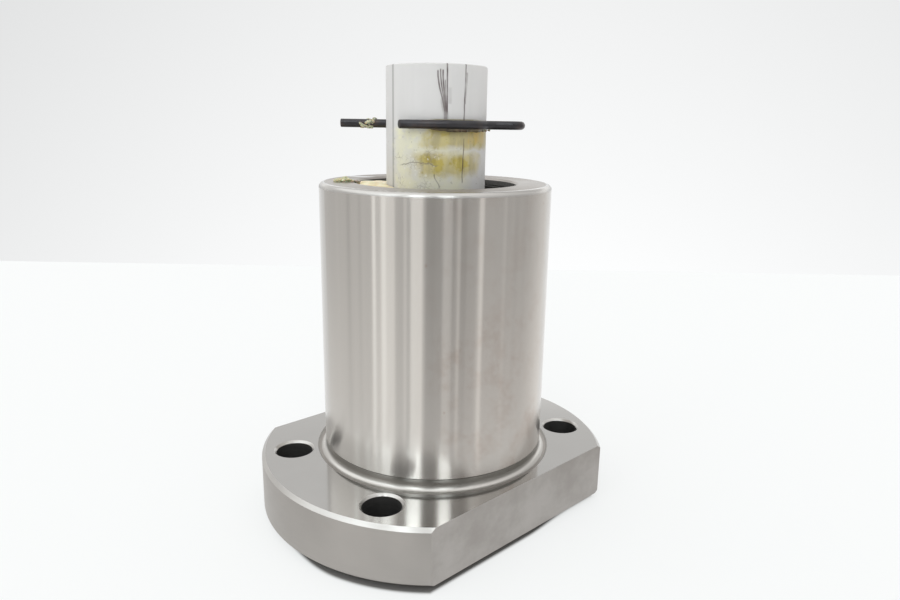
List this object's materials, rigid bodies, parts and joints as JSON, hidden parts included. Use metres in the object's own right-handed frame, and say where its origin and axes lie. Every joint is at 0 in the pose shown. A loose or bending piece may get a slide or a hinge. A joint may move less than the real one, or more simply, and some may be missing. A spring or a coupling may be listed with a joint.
{
  "type": "ball screw nut",
  "caption": "Cylindrical ball screw nut with a two-flat bolting flange, standing on its flange with a plastic shipping sleeve and wire hairpin clip in its bore.",
  "frame": {"origin": "screw axis at the end face beyond the flange, on which the nut stands", "axes": "+Z along the screw axis towards the sleeve's free end, Y across the flange's two flats"},
  "size_m": [0.063, 0.0466, 0.0778],
  "materials": {
    "ground_steel": "ground and polished bearing steel",
    "deflector_plastic": "moulded",
    "ball_steel": "polished",
    "wiper_plastic": "moulded, greasy",
    "spring_steel": "phosphated",
    "sleeve_plastic": "extruded, scuffed and greasy",
    "clip_wire": "dark spring wire"
  },
  "bodies": {
    "nut": {"nut_body": "ground_steel", "top_deflector": "deflector_plastic", "flange_deflector": "deflector_plastic", "track_balls": "ball_steel", "return_balls": "ball_steel", "top_wiper": "wiper_plastic", "flange_wiper": "wiper_plastic", "top_retaining_ring": "spring_steel", "flange_retaining_ring": "spring_steel"},
    "sleeve": {"shipping_sleeve": "sleeve_plastic", "hairpin_clip": "clip_wire"}
  },
  "joints": [
    {"name": "sleeve_slide", "type": "slide", "parent": "nut", "child": "sleeve", "axis": [0, 0, 1], "range_m": [-0.0087, 0.0589]}
  ]
}
